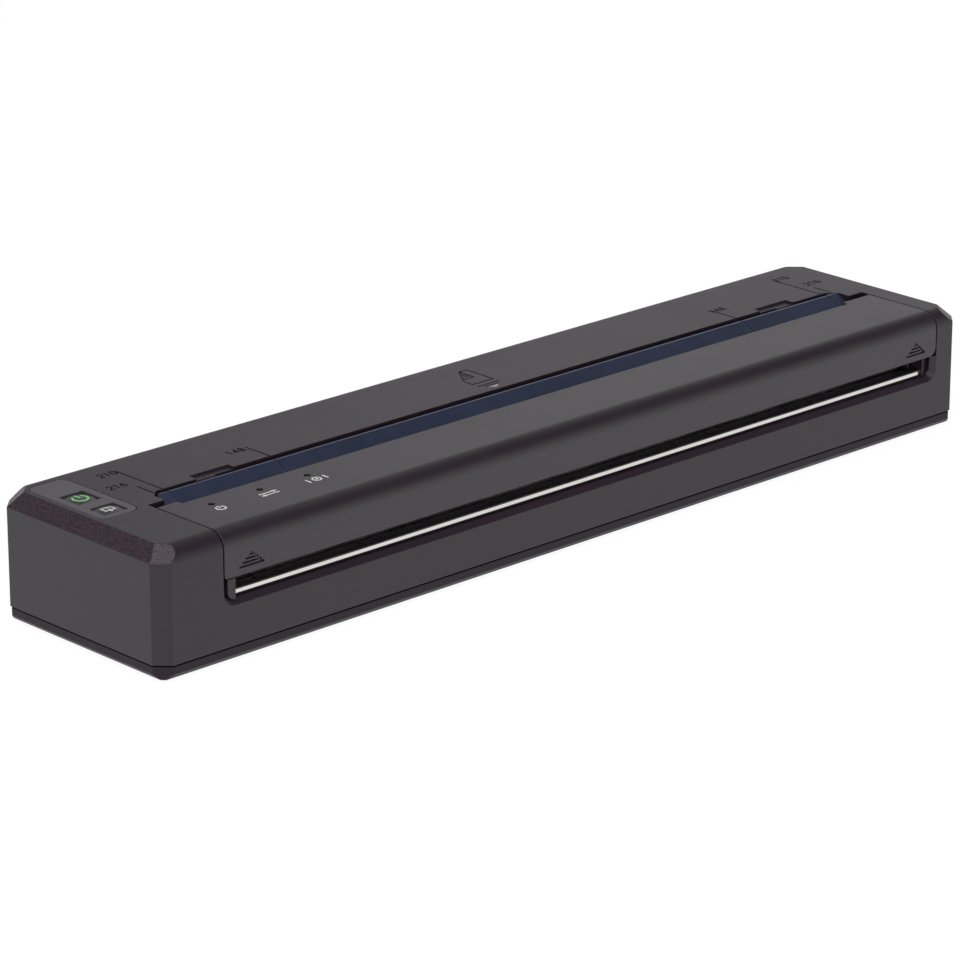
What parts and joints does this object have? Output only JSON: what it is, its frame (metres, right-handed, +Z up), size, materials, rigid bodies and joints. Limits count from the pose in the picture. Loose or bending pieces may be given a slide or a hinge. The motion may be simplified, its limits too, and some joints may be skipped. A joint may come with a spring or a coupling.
{
  "type": "portable thermal printer",
  "caption": "Slim bar-shaped A4 thermal printer with a hinged release cover, rubber platen, print head, gear drive, key panel and sliding battery door.",
  "frame": {"origin": "middle of the footprint, on the plane that the rubber feet stand on", "axes": "+X along the paper width, with the key panel at -X; -Y is the front with the paper exit slot; +Z up"},
  "size_m": [0.255, 0.055, 0.03],
  "materials": {
    "housing_plastic": "fine matte moulded grain, coarser on the end chamfers",
    "base_plastic": "fine matte moulded grain",
    "cover_plastic": "fine matte moulded grain",
    "blue_plastic": "satin navy plastic",
    "black_plastic": "matte black",
    "bright_metal": "bright brushed steel",
    "plated_steel": "zinc-plated sheet",
    "spring_steel": "rolled spring steel",
    "ceramic": "glazed ceramic",
    "aluminium": "extruded aluminium",
    "flex_cable": "amber film",
    "platen_rubber": "ground rubber",
    "turned_steel": "turned steel",
    "bush_plastic": "sintered bush",
    "gear_plastic": "natural acetal",
    "brass": "machined brass",
    "motor_can": "nickel-plated can",
    "screw_steel": "plated screws",
    "panel_plastic": "satin film",
    "button_plastic": "satin plastic",
    "circuit_board": "solder mask",
    "chip_plastic": "moulded package",
    "light_pipe": "smoked clear plastic",
    "capacitor_can": "aluminium can",
    "shield_metal": "tinned shield",
    "cell_wrap": "shrink sleeve",
    "foot_rubber": "soft rubber"
  },
  "bodies": {
    "chassis": {"base_shell": "base_plastic", "upper_housing": "housing_plastic", "exit_guide": "housing_plastic", "tear_bar": "bright_metal", "paper_guide": "black_plastic", "left_side_plate": "plated_steel", "right_side_plate": "plated_steel", "head_beam": "plated_steel", "print_head": "ceramic", "head_heatsink": "aluminium", "head_springs": "spring_steel", "head_ribbon": "flex_cable", "gear_axles": "turned_steel", "stepper_motor": "motor_can", "motor_screws": "screw_steel", "hinge_pins": "turned_steel", "frame_screws": "screw_steel", "button_panel": "panel_plastic", "button_board": "circuit_board", "tact_switches": "chip_plastic", "main_board": "circuit_board", "processor": "chip_plastic", "board_chips": "chip_plastic", "capacitors": "capacitor_can", "wireless_module": "shield_metal", "motor_flex": "flex_cable", "io_board": "circuit_board", "usb_socket": "plated_steel", "dc_inlet": "black_plastic", "paper_sensor": "chip_plastic", "battery_case": "black_plastic", "battery_cells": "cell_wrap", "battery_contacts": "brass", "rubber_feet": "foot_rubber", "case_screws": "screw_steel"},
    "cover": {"release_cover": "cover_plastic", "guide_bar": "blue_plastic", "indicator_board": "circuit_board", "status_lights": "light_pipe", "platen_bushes": "bush_plastic"},
    "platen": {"platen_roller": "platen_rubber", "platen_shaft": "turned_steel", "platen_gear": "gear_plastic"},
    "idler": {"idler_gear": "gear_plastic"},
    "reduction": {"reduction_gear": "gear_plastic"},
    "rotor": {"motor_pinion": "brass"},
    "power_key": {"power_button": "button_plastic"},
    "feed_key": {"feed_button": "button_plastic"},
    "door": {"battery_door": "base_plastic"}
  },
  "joints": [
    {"name": "cover_hinge", "type": "hinge", "parent": "chassis", "child": "cover", "pos_m": [0, -0.0015, 0.0256], "axis": [-1, 0, 0], "range_deg": [0, 60]},
    {"name": "platen_spin", "type": "hinge", "parent": "cover", "child": "platen", "pos_m": [0, -0.0155, 0.0223], "axis": [1, 0, 0], "continuous": true},
    {"name": "idler_spin", "type": "hinge", "parent": "chassis", "child": "idler", "pos_m": [0.1159, -0.0099, 0.01112], "axis": [1, 0, 0], "continuous": true},
    {"name": "reduction_spin", "type": "hinge", "parent": "chassis", "child": "reduction", "pos_m": [0.1169, 0.00141, 0.01321], "axis": [1, 0, 0], "continuous": true},
    {"name": "rotor_spin", "type": "hinge", "parent": "chassis", "child": "rotor", "pos_m": [0.118, 0.0139, 0.0128], "axis": [1, 0, 0], "continuous": true},
    {"name": "power_press", "type": "slide", "parent": "chassis", "child": "power_key", "axis": [0, 0, -1], "range_m": [0, 0.0005], "stiffness_N_per_m": 2000},
    {"name": "feed_press", "type": "slide", "parent": "chassis", "child": "feed_key", "axis": [0, 0, -1], "range_m": [0, 0.0005], "stiffness_N_per_m": 2000},
    {"name": "door_slide", "type": "slide", "parent": "chassis", "child": "door", "axis": [0, 1, 0], "range_m": [0, 0.022]}
  ],
  "couplings": [
    {"joint": "idler_spin", "follows": "platen_spin", "ratio": -0.66667},
    {"joint": "reduction_spin", "follows": "platen_spin", "ratio": 1.25},
    {"joint": "rotor_spin", "follows": "platen_spin", "ratio": -3.2143}
  ]
}
